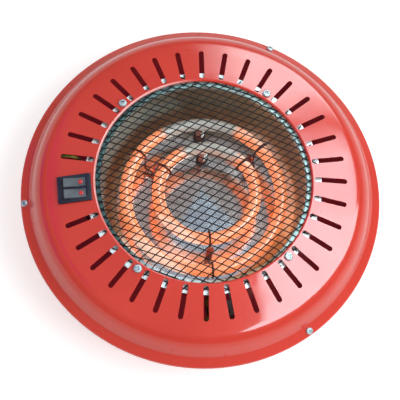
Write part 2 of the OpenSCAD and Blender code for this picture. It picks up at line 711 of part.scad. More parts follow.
// The thermal cut-out stands on the pan with its face just under the bowl
module thermal_cutout() {
    face_z = bowl_z - bowl_t - seat - 0.1;
    color(ceramic) translate([cutout_x, cutout_y, 0]) difference() {
        union() {
            translate([0, 0, pan_z]) cylinder(h = face_z - pan_z, r = cutout_r);
            translate([-4, -cutout_screw_y - 4, pan_z]) cube([8, 2 * cutout_screw_y + 8, 1]);
            translate([-cutout_r - cutout_tab_l, -2.5, cutout_tab_z])
                cube([2 * (cutout_r + cutout_tab_l), 5, 0.8]);
        }
        for (y = [-1, 1]) translate([0, y * cutout_screw_y, pan_z - 1])
            cylinder(h = 3, d = small_screw_d + 2 * screw_gap);
    }
}
module cutout_screws() {
    color(steel) for (y = [-1, 1]) translate([cutout_x, cutout_y + y * cutout_screw_y, foot_h])
        mirror([0, 0, 1])
        pan_screw(small_screw_d, small_head_d, small_head_h, sheet_t + 3);
}

module cable_gland() {
    color(black) on_wall() difference() {
        union() {
            translate([0, 0, sheet_t + 0.05]) cylinder(h = gland_flange_t - 1.05, r = gland_flange_r);
            translate([0, 0, sheet_t + gland_flange_t - 1])
                cylinder(h = 1, r1 = gland_flange_r, r2 = gland_flange_r - 1.5);
            translate([0, 0, sheet_t + gland_flange_t - gland_l])
                cylinder(h = gland_l - 1, r = gland_body_r);
        }
        translate([0, 0, -gland_l]) cylinder(h = 2 * gland_l, d = gland_bore_d);
    }
}
module gland_nut() {
    color(black) on_wall() translate([0, 0, -4.4]) hex_nut(17, 2 * gland_body_r + 0.3, 4);
}

// Feet, each with a screw from below
foot_recess = 3.5;
module feet() {
    color(black) for (dir = foot_dirs) at_foot(dir) difference() {
        rotate_extrude() polygon(rounded([[0, foot_h], [foot_d / 2, foot_h], [foot_d / 2 - 1.5, 0],
            [0, 0]], [0, 0.6, 1.5, 0]));
        translate([0, 0, -1]) cylinder(h = foot_h + 2, d = screw_d + 2 * screw_gap);
        translate([0, 0, -1]) cylinder(h = foot_recess + 1, d = cover_head_d + 1);
    }
}
module foot_screws() {
    color(steel) for (dir = foot_dirs) at_foot(dir) translate([0, 0, foot_recess]) mirror([0, 0, 1])
        pan_screw(screw_d, cover_head_d, 2.4, pan_z - foot_recess + nut_h + 1);
}
module foot_nuts() {
    color(steel) for (dir = foot_dirs) at_foot(dir) translate([0, 0, pan_z])
        hex_nut(nut_af, screw_d + 0.3, nut_h);
}

module at_earth() {
    rotate([0, 0, earth_dir]) translate([earth_r, 0, pan_z]) children();
}
module earth_screw() {
    color(steel) at_earth() translate([0, 0, -sheet_t]) mirror([0, 0, 1])
        pan_screw(screw_d, cover_head_d, 2.4, sheet_t + 1 + nut_h + 1);
}
// The nut holds the lead's ring tag down on the pan
module earth_nut() {
    color(steel) at_earth() {
        translate([0, 0, 1]) hex_nut(nut_af, screw_d + 0.3, nut_h);
        difference() {
            union() {
                cylinder(h = 1, d = nut_af + 2);
                translate([-12, -2.5, 0]) cube([12, 5, 1]);
            }
            translate([0, 0, -1]) cylinder(h = 3, d = screw_d + 0.5);
        }
    }
}

// Leads: a smooth curve through a few points, and an eight-sided tube along it
function curve_point(a, b, c, d, t) =
    0.5 * (2 * b + (c - a) * t + (2 * a - 5 * b + 4 * c - d) * t ^ 2 + (3 * b - a - 3 * c + d) * t ^ 3);
function curve(pts, n) =
    let (last = len(pts) - 1)
    [for (i = [0:last - 1], k = [0:n - 1])
        curve_point(pts[max(i - 1, 0)], pts[i], pts[i + 1], pts[min(i + 2, last)], k / n), pts[last]];
function across(n, t) = unit(n - (n * t) * t);
module lead(pts, d = lead_d) {
    sides = 8;
    path = curve(pts, 4);
    last = len(path) - 1;
    along = [for (i = [0:last]) unit(path[min(i + 1, last)] - path[max(i - 1, 0)])];
    first = abs(along[0][2]) > 0.8 ? [1, 0, 0] : [0, 0, 1];
    normals = [for (i = 0, n = across(first, along[0]); i <= last; i = i + 1,
        n = across(n, along[min(i, last)])) n];
    points = [
        for (i = [0:last], k = [0:sides - 1])
            path[i] + d / 2 * (cos(k * 360 / sides) * normals[i] + sin(k * 360 / sides) * cross(along[i],
                normals[i]))
    ];
    polyhedron(points, skin(last, sides));
}
// Where leads end: in a way of the block, under a switch blade, beside a bush, at a tab and at the earth
// tag
function way_point(k, in_r) =
    let (c = cos(inlet_dir), s = sin(inlet_dir))
    [in_r * c + way_xs[k] * s * -1, in_r * s + way_xs[k] * c, way_z];
function way_inner(k) = way_point(k, block_r - block_w / 2 + 3);
function way_before(k) = way_point(k, block_r - block_w / 2 - 11);
function blade_tip(x, side, below) =
    let (z = -body_depth - blade_l - below)
    [-(bezel_mid_r + x * cos(top_slope) + z * sin(top_slope)), -side * rocker_y,
        top_at(bezel_mid_r) - x * sin(top_slope) + z * cos(top_slope)];
function bush_side(centre, r, side) =
    [stem_x + side * (bush_neck_r + 0.3), centre[1] + r * sin(stem_dir(centre, r)), lead_z];
function cutout_end(side) = [cutout_x + side * (cutout_r + cutout_tab_l + 0.3), cutout_y,
    cutout_tab_z + 0.4];
earth_end = [earth_r * cos(earth_dir) + 10, earth_r * sin(earth_dir) - 4, pan_z + 6];

module supply_leads() {
    color("dimgray") {
        lead([way_inner(1), way_before(1), [2, -70, 14], [-6, -50, 14], [-17, -34, 14], cutout_end(1)]);
        lead([cutout_end(-1), [-75, -27, 14], [-95, -18, 16], [-107, -14, 26], [-115, -9, 42],
            blade_tip(0, 1, 6),
            blade_tip(0, 1, 0.3)]);
    }
}
module element_leads() {
    color("ivory") {
        lead([blade_tip(8, -1, 0.3), blade_tip(8, -1, 6), [-123, 10, 44], [-112, 15, 26], [-98, 22, 17],
            [-80, 36, 14],
            [-55, 55, 14], [-25, 72, 14], bush_side(outer_centre, outer_ring_r, -1)]);
        lead([blade_tip(8, 1, 0.3), blade_tip(8, 1, 6), [-124, -3, 44], [-112, 3, 26], [-98, 8, 17],
            [-80, 18, 14],
            [-50, 34, 14], [-20, 46, 14], bush_side(inner_centre, inner_ring_r, -1)]);
        lead([bush_side(outer_centre, outer_ring_r, 1), [28, 72, 14], [52, 52, 14], [64, 20, 14],
            [60, -25, 14],
            [42, -62, 14],
            way_before(3), way_inner(3)]);
        lead([bush_side(inner_centre, inner_ring_r, 1), [24, 42, 14], [34, 20, 14], [34, -20, 14],
            [26, -60, 14],
            way_before(2),
            way_inner(2)]);
    }
}
module earth_lead() {
    color("olive") lead([way_inner(0), way_before(0), [-3.5, -99, 18], [-4.5, -110, 26], [-6, -122, 36],
        [-20, -134, 45], [-50, -137, 50], [-84, -119, 50], [-119, -84, 50], [-141, -38, 50],
        [-146, 0, 52], [-144.5, 22, 62], [-139.5, 38, 73], [-131, 37.5, 79.5], [-120, 35, 80],
        [-114, 37, 62], [-113, 38, 40], earth_end]);
}

cover();
base_pan();
reflector();
guard_upper_wires();
guard_lower_wires();
outer_ring_tube();
inner_ring_tube();
outer_heating_coil();
inner_heating_coil();
outer_tube_bush();
inner_tube_bush();
support_posts();
support_screws();
tube_hooks();
cover_screws();
brim_screws();
brim_nuts();
switch_body();
outer_ring_rocker();
inner_ring_rocker();
outer_ring_lens();
inner_ring_lens();
switch_terminals();
terminal_block();
terminal_screws();
block_screws();
thermal_cutout();
cutout_screws();
cable_gland();
gland_nut();
feet();
foot_screws();
foot_nuts();
earth_screw();
earth_nut();
supply_leads();
element_leads();
earth_lead();
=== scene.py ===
import json
import math

import bpy
from mathutils import Matrix, Vector


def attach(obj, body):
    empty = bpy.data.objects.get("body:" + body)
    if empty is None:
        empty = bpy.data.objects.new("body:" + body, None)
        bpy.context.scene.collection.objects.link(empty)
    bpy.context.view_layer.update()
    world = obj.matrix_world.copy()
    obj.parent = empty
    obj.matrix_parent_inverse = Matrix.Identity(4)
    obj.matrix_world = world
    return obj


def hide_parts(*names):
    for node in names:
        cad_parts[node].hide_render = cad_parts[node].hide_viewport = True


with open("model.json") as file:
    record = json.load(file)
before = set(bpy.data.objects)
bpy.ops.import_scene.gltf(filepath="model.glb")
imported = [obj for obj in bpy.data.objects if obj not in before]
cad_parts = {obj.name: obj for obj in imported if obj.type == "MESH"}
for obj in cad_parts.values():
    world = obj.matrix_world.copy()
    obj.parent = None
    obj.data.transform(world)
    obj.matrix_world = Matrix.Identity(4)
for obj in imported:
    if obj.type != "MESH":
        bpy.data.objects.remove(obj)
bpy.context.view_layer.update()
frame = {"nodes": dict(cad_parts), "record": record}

MM = 0.001
BODY = "heater"

# Edges where a look changes: where the change starts and ends, as a radius or a height in metres
FLOOR_TO_WALL_R = (0.0812, 0.0832)
RIM_TO_FLANGE_R = (0.1035, 0.1045)
BOWL_TO_RIM_H = (0.080, 0.083)
OPENING_EDGE_R = (0.1036, 0.1046)
OPENING_EDGE_H = (0.0872, 0.0882)
STEM_TO_RING_H = (0.0455, 0.048)
HEATED_H = (0.022, 0.05)

# Most values of a noise texture lie between these two
NOISE_RANGE = (0.3, 0.7)


# Materials
class Nodes:
    """A node tree with a few shorthands."""

    # Sockets of a Mix node that mixes colours
    FACTOR, COLOUR_A, COLOUR_B, RESULT = 0, 6, 7, 2

    def __init__(self, tree, coordinates):
        self.tree = tree
        self.place = self.add("ShaderNodeTexCoord").outputs[coordinates]

    def add(self, kind, **props):
        node = self.tree.nodes.new(kind)
        for key, value in props.items():
            setattr(node, key, value)
        return node

    def link(self, a, b):
        self.tree.links.new(a, b)

    def feed(self, socket, value):
        if isinstance(value, bpy.types.NodeSocket):
            self.link(value, socket)
        else:
            socket.default_value = value

    def math(self, operation, a, b=0.0):
        node = self.add("ShaderNodeMath", operation=operation)
        self.feed(node.inputs[0], a)
        self.feed(node.inputs[1], b)
        return node.outputs[0]

    def plus(self, a, b):
        return self.math("ADD", a, b)

    def minus(self, a, b):
        return self.math("SUBTRACT", a, b)

    def times(self, a, b):
        return self.math("MULTIPLY", a, b)

    def xyz(self):
        parts = self.add("ShaderNodeSeparateXYZ")
        self.link(self.place, parts.inputs[0])
        return parts.outputs["X"], parts.outputs["Y"], parts.outputs["Z"]

    def height(self):
        return self.xyz()[2]

    def dot(self, vector):
        node = self.add("ShaderNodeVectorMath", operation="DOT_PRODUCT")
        self.link(self.place, node.inputs[0])
        node.inputs[1].default_value = vector
        return node.outputs["Value"]

    def noise(self, scale, detail=3.0, rough=0.5):
        node = self.add("ShaderNodeTexNoise")
        node.inputs["Scale"].default_value = scale
        node.inputs["Detail"].default_value = detail
        node.inputs["Roughness"].default_value = rough
        self.link(self.place, node.inputs["Vector"])
        return node.outputs["Fac"]

    def ramp(self, fac, *stops):
        """Colours by a factor; each stop is (place, colour)."""
        node = self.add("ShaderNodeValToRGB")
        elements = node.color_ramp.elements
        while len(elements) < len(stops):
            elements.new(0.5)
        for element, (place, colour) in zip(elements, stops):
            element.position = place
            element.color = (*colour, 1.0)
        self.link(fac, node.inputs["Fac"])
        return node.outputs["Color"]

    def tones(self, noise, dark, light, low=NOISE_RANGE[0], high=NOISE_RANGE[1]):
        """Two colours in patches, by a noise."""
        return self.ramp(noise, (low, dark), (high, light))

    def span(self, value, low, high, to_low=0.0, to_high=1.0):
        """A value between low and high, carried over to the range from to_low to to_high and kept in it."""
        node = self.add("ShaderNodeMapRange")
        self.link(value, node.inputs["Value"])
        for key, number in (("From Min", low), ("From Max", high), ("To Min", to_low), ("To Max", to_high)):
            node.inputs[key].default_value = number
        return node.outputs["Result"]

    def above(self, value, edge):
        """0 below an edge and 1 above it; the edge is where the change starts and where it ends."""
        return self.span(value, *edge)

    def below(self, value, edge):
        """1 below an edge and 0 above it."""
        return self.span(value, *edge, 1.0, 0.0)

    def between(self, value, low, high, soft):
        """1 between low and high, with a fade of twice soft centred on each."""
        up = self.above(value, (low - soft, low + soft))
        return self.times(up, self.below(value, (high - soft, high + soft)))

    def mix(self, fac, a, b):
        node = self.add("ShaderNodeMix", data_type="RGBA")
        self.feed(node.inputs[self.FACTOR], fac)
        for socket, colour in ((self.COLOUR_A, a), (self.COLOUR_B, b)):
            linked = isinstance(colour, bpy.types.NodeSocket)
            self.feed(node.inputs[socket], colour if linked else (*colour, 1.0))
        return node.outputs[self.RESULT]

    def rays(self):
        """Whether a ray comes from the camera, and whether it comes by way of a mirror or glass."""
        path = self.add("ShaderNodeLightPath")
        mirrored = self.math("MAXIMUM", path.outputs["Is Glossy Ray"], path.outputs["Is Transmission Ray"])
        return path.outputs["Is Camera Ray"], mirrored


class Shader(Nodes):
    """A node material. Its coordinates are those of the CAD at rest, in metres."""

    def __init__(self, name):
        self.mat = bpy.data.materials.new(name)
        self.mat.use_nodes = True
        super().__init__(self.mat.node_tree, "Object")
        self.bsdf = self.tree.nodes["Principled BSDF"]

    def set(self, **values):
        for key, value in values.items():
            self.bsdf.inputs[key.replace("_", " ")].default_value = value
        return self

    def colour(self, socket):
        self.link(socket, self.bsdf.inputs["Base Color"])

    def roughness(self, socket):
        self.link(socket, self.bsdf.inputs["Roughness"])

    def uneven(self, noise, low, high):
        """Roughness that follows a noise from low to high."""
        return self.span(noise, *NOISE_RANGE, low, high)

    def bump(self, *heights):
        """Each height is (socket, distance in metres)."""
        normal = None
        for height, distance in heights:
            node = self.add("ShaderNodeBump")
            node.inputs["Distance"].default_value = distance
            self.link(height, node.inputs["Height"])
            if normal is not None:
                self.link(normal, node.inputs["Normal"])
            normal = node.outputs["Normal"]
        self.link(normal, self.bsdf.inputs["Normal"])

    def radius(self):
        """Distance from the part's upright axis."""
        x, y, _ = self.xyz()
        return self.math("SQRT", self.plus(self.times(x, x), self.times(y, y)))

    def towards(self, angle):
        """Distance from the part's axis in a level direction, given in degrees from +X."""
        a = math.radians(angle)
        return self.dot((math.cos(a), math.sin(a), 0.0))


def plain(name, dark, light, rough, scale=60.0, grain=(700.0, 0.00003), **values):
    """A moulded, painted or plated surface: two close colours, uneven gloss and a fine grain."""
    gloss_to_cloud = 2.3
    grain_scale, grain_depth = grain
    s = Shader(name)
    s.colour(s.tones(s.noise(scale, 4.0), dark, light, 0.35, 0.65))
    s.roughness(s.uneven(s.noise(scale * gloss_to_cloud), *rough))
    s.bump((s.noise(grain_scale, 2.0), grain_depth))
    return s.set(**values)


def enamel(name, glow=0.0, painted_edge_highlight=False):
    """Glossy red, with a painted purple-red glow as strong as glow, and optionally a painted highlight, paler
    on the far left of the opening's edge.
    """
    s = Shader(name)
    red = s.tones(s.noise(14.0), (0.64, 0.036, 0.018), (0.70, 0.044, 0.023))
    if painted_edge_highlight:
        # Painted highlight: the top of the opening's rounded edge turns pale pink on its far left
        edge = s.times(s.below(s.radius(), OPENING_EDGE_R), s.above(s.height(), OPENING_EDGE_H))
        far_left = s.above(s.towards(147), (0.050, 0.078))
        red = s.mix(s.times(edge, far_left), red, (0.86, 0.40, 0.38))
    s.colour(red)
    s.roughness(s.uneven(s.noise(40.0, 4.0), 0.26, 0.36))
    s.bump((s.noise(9.0, 2.0), 0.0004), (s.noise(420.0, 2.0), 0.000008))
    return s.set(Coat_Weight=1.0, Coat_Roughness=0.05, Specular_IOR_Level=0.25,
                 Emission_Color=(0.5, 0.05, 0.10, 1.0), Emission_Strength=glow)


def spun_aluminium():
    """White on the flange, browned by heat on the bowl's wall and most of its corner, with painted shade on
    the wall's far left and painted reflections on its floor, its rim and two low stretches of its corner.
    """
    wedge_x = 0.004
    wedge_slope = 0.75
    radians_per_metre = 5200.0
    s = Shader("spun_aluminium")
    x, y, height = s.xyz()
    radius = s.radius()
    smear = s.noise(26.0, 5.0, 0.6)

    # Floor: a painted reflection of the sky, a blue wedge that widens towards the near side, with pink beside
    # it
    blue = s.tones(smear, (0.66, 0.74, 0.80), (0.80, 0.86, 0.90))
    pink = s.tones(smear, (0.62, 0.50, 0.44), (0.78, 0.68, 0.62))
    off_wedge = s.plus(s.math("ABSOLUTE", s.minus(x, wedge_x)), s.times(y, wedge_slope))
    floor = s.mix(s.above(off_wedge, (0.006, 0.016)), blue, pink)

    # Wall: brown, with painted shade darker at the far left, and two pale stretches low down that are painted
    # reflections
    brown = s.tones(smear, (0.30, 0.24, 0.15), (0.46, 0.37, 0.25))
    shaded = s.tones(smear, (0.10, 0.085, 0.055), (0.17, 0.135, 0.09))
    brown = s.mix(s.above(s.towards(150), (-0.02, 0.08)), brown, shaded)
    pale = s.tones(smear, (0.62, 0.74, 0.74), (0.88, 0.94, 0.96))
    right = s.above(s.towards(10), (0.066, 0.078))
    near_left = s.above(s.towards(232), (0.070, 0.080))
    # Painted reflection: pale, on the right and on the near left, low down
    painted_reflection_stretch = s.times(s.math("MAXIMUM", right, near_left), s.below(height, (0.028, 0.040)))
    wall = s.mix(painted_reflection_stretch, brown, pale)

    # Rim: painted reflections, green, darker on the left, and at the near side white on the left and brown on
    # the right
    rim = s.mix(s.above(x, (-0.06, 0.06)), (0.07, 0.12, 0.12), (0.62, 0.80, 0.77))
    near_rim = s.mix(s.above(x, (-0.02, 0.02)), (0.66, 0.70, 0.70), (0.42, 0.22, 0.12))
    rim = s.mix(s.below(y, (-0.085, -0.065)), rim, near_rim)
    top = s.mix(s.above(radius, RIM_TO_FLANGE_R), rim, (0.96, 0.97, 0.97))

    off_floor = s.above(radius, FLOOR_TO_WALL_R)
    on_top = s.above(height, BOWL_TO_RIM_H)
    s.colour(s.mix(on_top, s.mix(off_floor, floor, wall), top))
    s.roughness(s.plus(s.uneven(s.noise(55.0, 4.0), 0.10, 0.16), s.times(off_floor, 0.2)))
    metal = s.plus(s.span(radius, *FLOOR_TO_WALL_R, 0.95, 0.14), s.times(on_top, 0.3))
    s.link(metal, s.bsdf.inputs["Metallic"])
    spinning_lines = s.math("SINE", s.times(radius, radians_per_metre))
    s.bump((s.noise(17.0, 2.0), 0.0006), (spinning_lines, 0.000004))
    return s.set(Specular_IOR_Level=0.15)


def quartz(name, centre, ring_r, cold_from, cold_to, soft):
    """Frosted quartz that glows all round its ring but beside its stem, between two angles from +X.

    The glow fades over soft degrees inside them and a little outside.
    """
    outside = math.radians(2.0)
    wander = 0.08
    highlight_x, highlight_y = 0.66, 0.75
    s = Shader(name)
    x, y, height = s.xyz()
    x = s.minus(x, centre[0])
    y = s.minus(y, centre[1])
    patches = s.noise(34.0)

    middle = math.radians((cold_from + cold_to) / 2)
    half = math.radians((cold_to - cold_from) / 2)
    turned_x = s.plus(s.times(x, math.cos(middle)), s.times(y, math.sin(middle)))
    turned_y = s.minus(s.times(y, math.cos(middle)), s.times(x, math.sin(middle)))
    angle = s.math("ABSOLUTE", s.math("ARCTAN2", turned_y, turned_x))
    angle = s.plus(angle, s.times(s.minus(patches, 0.5), wander))
    on_ring = s.above(height, STEM_TO_RING_H)
    lit = s.times(s.above(angle, (half - math.radians(soft), half + outside)), on_ring)

    pale = s.ramp(patches, (0.3, (0.52, 0.57, 0.53)), (0.5, (0.70, 0.66, 0.60)), (0.7, (0.76, 0.82, 0.79)))
    cold = s.mix(on_ring, (0.30, 0.13, 0.07), pale)
    warm = s.tones(patches, (0.62, 0.26, 0.14), (0.72, 0.36, 0.22))
    s.colour(s.mix(lit, cold, warm))

    # Painted highlight: whitish stretches of the glow, on two opposite sides of the ring, standing in for a
    # window's reflection
    hot = s.tones(s.noise(60.0), (1.0, 0.22, 0.06), (1.0, 0.30, 0.11))
    aside = s.math("ABSOLUTE", s.plus(s.times(x, highlight_x), s.times(y, highlight_y)))
    painted_window_highlight = s.times(s.above(aside, (0.945 * ring_r, ring_r)), s.above(patches, (0.30, 0.45)))
    hot = s.mix(painted_window_highlight, hot, (1.0, 0.70, 0.56))
    s.link(s.mix(lit, (0.0, 0.0, 0.0), hot), s.bsdf.inputs["Emission Color"])
    s.roughness(s.uneven(s.noise(90.0), 0.26, 0.40))
    s.bump((s.noise(160.0, 2.0), 0.00006))
    return s.set(Emission_Strength=0.72, Specular_IOR_Level=0.8, Coat_Weight=0.6, Coat_Roughness=0.08)


def browned(name, cool, hot):
    """Steel browned by heat, more so near the rings."""
    s = Shader(name)
    scale = s.noise(220.0, 4.0, 0.6)
    cool_tones = s.tones(scale, cool, tuple(1.5 * c for c in cool))
    hot_tones = s.tones(scale, hot, tuple(1.4 * c for c in hot))
    s.colour(s.mix(s.above(s.height(), HEATED_H), cool_tones, hot_tones))
    s.roughness(s.uneven(scale, 0.45, 0.7))
    s.bump((scale, 0.00008))
    return s.set(Metallic=0.35)


def striped_sleeve():
    """Green sleeve with yellow bands across it, by a wave in radians per metre of Y and of height."""
    wave_y, wave_height = 700.0, 500.0
    s = Shader("striped_sleeve")
    _, y, height = s.xyz()
    wave = s.math("SINE", s.plus(s.times(y, wave_y), s.times(height, wave_height)))
    s.colour(s.mix(s.math("GREATER_THAN", wave, 0.1), (0.07, 0.11, 0.02), (0.28, 0.25, 0.04)))
    s.bump((s.noise(900.0, 2.0), 0.00002))
    return s.set(Roughness=0.5)


# Looks by the record's material slots, and those of single nodes
LOOKS = {
    "red_enamel": enamel("red_enamel", painted_edge_highlight=True),
    "black_wire": plain("black_wire", (0.005, 0.005, 0.006), (0.012, 0.011, 0.011), (0.5, 0.65),
                        grain=(900.0, 0.00004), Specular_IOR_Level=0.2),
    "aluminium": spun_aluminium(),
    "hot_coil": plain("hot_coil", (0.9, 0.25, 0.08), (1.0, 0.35, 0.12), (0.5, 0.7),
                      Emission_Color=(1.0, 0.3, 0.08, 1.0), Emission_Strength=2.0),
    "ceramic": plain("ceramic", (0.020, 0.016, 0.015), (0.045, 0.036, 0.032), (0.5, 0.7),
                     grain=(1200.0, 0.00006)),
    "brown_steel": browned("brown_steel", (0.16, 0.075, 0.05), (0.30, 0.055, 0.022)),
    "zinc": plain("zinc", (0.42, 0.43, 0.44), (0.56, 0.57, 0.58), (0.5, 0.62), scale=300.0,
                  grain=(1500.0, 0.00003), Metallic=0.8),
    "dark_plastic": plain("dark_plastic", (0.010, 0.012, 0.020), (0.020, 0.023, 0.034), (0.3, 0.42),
                          grain=(2600.0, 0.00003)),
    "grey_plastic": plain("grey_plastic", (0.085, 0.098, 0.112), (0.125, 0.140, 0.155), (0.26, 0.36),
                          grain=(2600.0, 0.00002)),
    "red_lens": plain("red_lens", (0.42, 0.012, 0.012), (0.55, 0.03, 0.025), (0.12, 0.2), Coat_Weight=1.0,
                      Emission_Color=(1.0, 0.05, 0.03, 1.0), Emission_Strength=0.14),
    "block_plastic": plain("block_plastic", (0.32, 0.33, 0.34), (0.42, 0.43, 0.43), (0.5, 0.62)),
    "rubber": plain("rubber", (0.012, 0.012, 0.012), (0.026, 0.025, 0.024), (0.7, 0.85),
                    grain=(800.0, 0.00008)),
    "black_plastic": plain("black_plastic", (0.014, 0.014, 0.015), (0.03, 0.03, 0.031), (0.4, 0.55)),
    "lead_grey": plain("lead_grey", (0.10, 0.10, 0.11), (0.17, 0.17, 0.18), (0.5, 0.65)),
    "lead_white": plain("lead_white", (0.52, 0.50, 0.43), (0.66, 0.64, 0.56), (0.55, 0.7)),
    "lead_olive": striped_sleeve(),
}
NODE_LOOKS = {
    "outer_ring_tube": quartz("outer_quartz", centre=(0.0016, -0.004), ring_r=0.076,
                              cold_from=59.0, cold_to=117.0, soft=3.0),
    "inner_ring_tube": quartz("inner_quartz", centre=(0.005, -0.001), ring_r=0.0475,
                              cold_from=41.0, cold_to=118.0, soft=9.0),
    # Painted glow: the pan gives off a dim purple-red light of its own, though it is no lamp
    "base_pan": enamel("pan_enamel", glow=0.08),
    "tube_hooks": browned("hook_wire", (0.035, 0.028, 0.026), (0.10, 0.022, 0.012)),
}

# Pieces carried over, with their bevels in millimetres
BEVELS = {
    "switch_body": 0.35, "outer_ring_rocker": 0.45, "inner_ring_rocker": 0.45, "support_posts": 0.25,
    "terminal_block": 0.5, "feet": 0.4, "thermal_cutout": 0.3, "cable_gland": 0.3, "gland_nut": 0.3,
    "brim_nuts": 0.2, "foot_nuts": 0.2, "earth_nut": 0.15, "switch_terminals": 0.1,
}


def soften(obj, bevel):
    """Shared vertices, a small bevel if there is one, and shading that breaks at true edges."""
    weld = obj.modifiers.new("weld", "WELD")
    weld.merge_threshold = 1e-6
    if bevel:
        rounding = obj.modifiers.new("rounding", "BEVEL")
        rounding.width = bevel * MM
        rounding.segments = 3
        rounding.limit_method = "ANGLE"
        rounding.angle_limit = math.radians(35)
    for polygon in obj.data.polygons:
        polygon.use_smooth = True
    split = obj.modifiers.new("edges", "EDGE_SPLIT")
    split.split_angle = math.radians(32)


SLOTS = {row["node"]: row["material_slot"] for row in frame["record"]["subparts"]}
for name, obj in frame["nodes"].items():
    look = NODE_LOOKS.get(name) or LOOKS[SLOTS[name]]
    obj.data.materials.clear()
    obj.data.materials.append(look.mat)
    soften(obj, BEVELS.get(name))


# Guard, in millimetres, with the sizes of its solids
OPEN_R = 102.8
OPEN_Z = 90.0
TOP_SLOPE = math.radians(10)
SHEET_T = 1.0
LIP_GAP = 0.3
SEAT_GAP = 0.2
WIRE_R = 0.6
LAYER_DROP = 2 * WIRE_R + 0.1
BEND_R = 2 * WIRE_R
GUARD_OUT_R = OPEN_R + 8.2
LIP_Z = OPEN_Z - (GUARD_OUT_R - OPEN_R) * math.tan(TOP_SLOPE) - SHEET_T / math.cos(TOP_SLOPE) - LIP_GAP
UPPER_FLAT_Z = LIP_Z - SEAT_GAP - WIRE_R
UPPER_DOME_R = OPEN_R - 3.6
LOWER_DOME_R = UPPER_DOME_R - 2.8 * WIRE_R
BORDER_DROP = 3.3
DOME_RISE = 8.5
SPHERE_R = (UPPER_DOME_R ** 2 + DOME_RISE ** 2) / (2 * DOME_RISE)
UPPER_CENTRE_Z = UPPER_FLAT_Z + BORDER_DROP + DOME_RISE - SPHERE_R
UPPER = dict(direction=36.2, pitch=6.68, offset=-0.57, dome_r=UPPER_DOME_R, flat_z=UPPER_FLAT_Z,
             centre_z=UPPER_CENTRE_Z)
LOWER = dict(direction=-25.4, pitch=6.5, offset=3.23, dome_r=LOWER_DOME_R, flat_z=UPPER_FLAT_Z - LAYER_DROP,
             centre_z=UPPER_CENTRE_Z - LAYER_DROP)

# Where the wires stop short of the cover screws and the switch
SCREW_DIRS = (50, 130, 230, 310)
SCREW_R = OPEN_R + 5.95
SCREW_CLEAR = 3.2
NOTCH_X = -106.2
NOTCH_HALF = 13.0

# How the wires are drawn
SWEEP_R = 0.55
ARC_STEP = 4.0
SHORTEST_END = 2.4
SHORTEST_RUN = 2.0
BESIDE_DOME = 0.3
STRAIGHT_TURN = 0.15


def rounded(points, radius, steps=4):
    """A polyline of 2-D points with its inner corners rounded."""
    most_of_side = 0.48
    out = [points[0]]
    for before, here, after in zip(points, points[1:], points[2:]):
        a = before - here
        b = after - here
        turn = math.pi - a.angle(b)
        if turn < STRAIGHT_TURN:
            out.append(here)
            continue
        reach = min(radius * math.tan(turn / 2), most_of_side * a.length, most_of_side * b.length)
        start = here + a.normalized() * reach
        end = here + b.normalized() * reach
        for k in range(steps + 1):
            t = k / steps
            out.append((1 - t) ** 2 * start + 2 * t * (1 - t) * here + t ** 2 * end)
    return out + [points[-1]]


def sweep(name, paths, radius, sides=8):
    """One mesh of round tubes along 3-D paths, in millimetres, with closed ends."""
    nearly_upright = 0.8
    verts, faces = [], []
    for path in paths:
        first = len(verts)
        last = len(path) - 1
        normal = None
        for i, point in enumerate(path):
            along = (path[min(i + 1, last)] - path[max(i - 1, 0)]).normalized()
            if normal is None:
                normal = Vector((0, 0, 1)) if abs(along.z) < nearly_upright else Vector((1, 0, 0))
            normal = (normal - along * normal.dot(along)).normalized()
            side = along.cross(normal)
            for k in range(sides):
                a = 2 * math.pi * k / sides
                verts.append((point + radius * (math.cos(a) * normal + math.sin(a) * side)) * MM)
        for i in range(last):
            for k in range(sides):
                a = first + i * sides + k
                b = first + i * sides + (k + 1) % sides
                faces.append((a, b, b + sides, a + sides))
        faces.append([first + k for k in reversed(range(sides))])
        faces.append([first + last * sides + k for k in range(sides)])
    mesh = bpy.data.meshes.new(name)
    mesh.from_pydata(verts, [], faces)
    mesh.validate()
    for polygon in mesh.polygons:
        polygon.use_smooth = len(polygon.vertices) == 4
    obj = bpy.data.objects.new(name, mesh)
    bpy.context.scene.collection.objects.link(obj)
    return obj


def screw_stops(direction, y, side):
    """Where a wire at y stops and starts again at the screws, measured along it to one side."""
    stops = []
    for screw_dir in SCREW_DIRS:
        turn = math.radians(screw_dir - direction)
        along = side * SCREW_R * math.cos(turn)
        off = abs(SCREW_R * math.sin(turn) - y)
        if off < SCREW_CLEAR:
            half = math.sqrt(SCREW_CLEAR ** 2 - off ** 2)
            stops.append((along - half, along + half))
    return stops


def wire_end(direction, y, side, end):
    """Where a wire at y ends to one side: at its layer's edge, at a screw or at the switch's notch."""
    for low, _ in screw_stops(direction, y, side):
        if low > 0:
            end = min(end, low)
    turn = math.radians(direction)
    at_notch = (y * math.sin(turn) + NOTCH_X) / (side * math.cos(turn))
    enter = side * at_notch * math.sin(turn) + y * math.cos(turn)
    leave = side * end * math.sin(turn) + y * math.cos(turn)
    if at_notch > 0 and min(abs(enter), abs(leave)) < NOTCH_HALF:
        end = min(end, at_notch - 2 * WIRE_R)
    return end


def half_wire(y, dome_r, flat_z, centre_z, end):
    """Half of a wire, as distance along it and height: over the dome, down and out on the flat border."""
    half = math.sqrt(dome_r ** 2 - y ** 2)
    arc_r = math.sqrt(SPHERE_R ** 2 - y ** 2)
    fall = math.asin(half / arc_r)
    count = max(2, int(half / ARC_STEP))
    angles = [fall * k / count for k in range(count + 1)]
    dome = [Vector((arc_r * math.sin(a), centre_z + arc_r * math.cos(a))) for a in angles]
    foot = Vector((half + 0.9 * BEND_R, flat_z))
    tip = Vector((max(end, half + SHORTEST_END), flat_z))
    return rounded(dome + [foot, tip], BEND_R)


